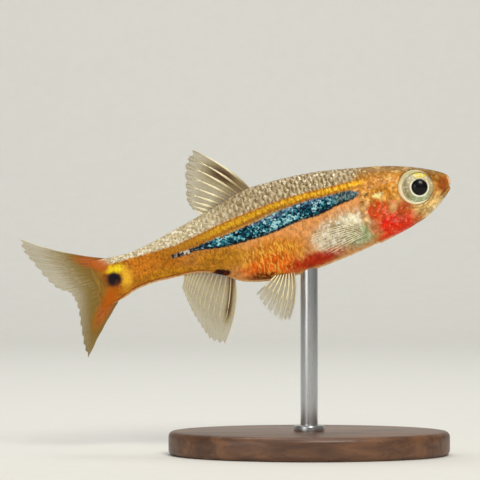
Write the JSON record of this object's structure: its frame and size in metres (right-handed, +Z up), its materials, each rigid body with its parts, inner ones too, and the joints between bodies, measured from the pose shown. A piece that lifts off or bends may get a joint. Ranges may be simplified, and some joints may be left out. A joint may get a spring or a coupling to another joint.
{
  "type": "exclamation point rasbora",
  "caption": "Still model of a tiny slender fish with large eyes, clear rayed fins and a forked tail, held nose-up by a rod over a flat oval base.",
  "frame": {"origin": "on the surface that the stand rests on, under the middle of the fish's length and width", "axes": "+X towards the snout, +Y to the fish's left, +Z up"},
  "size_m": [0.02, 0.0086, 0.0141],
  "materials": {
    "skin": "moist fish skin, small metallic scales, orange with a blue and black stripe under a gold line",
    "fin": "clear fin membrane with fine cream rays",
    "eye": "wet and glassy, silver-green iris round a black pupil",
    "walnut": "satin oiled dark wood",
    "steel": "fine brushed"
  },
  "bodies": {
    "root": {"head": "skin", "trunk": "skin", "tail_stalk": "skin", "gill_cover_right": "skin", "gill_cover_left": "skin", "eye_right": "eye", "eye_left": "eye", "dorsal_fin": "fin", "anal_fin": "fin", "caudal_fin_upper": "fin", "caudal_fin_lower": "fin", "pectoral_fin_right": "fin", "pectoral_fin_left": "fin", "pelvic_fin_right": "fin", "pelvic_fin_left": "fin", "stand_base": "walnut", "stand_rod": "steel"}
  },
  "joints": []
}
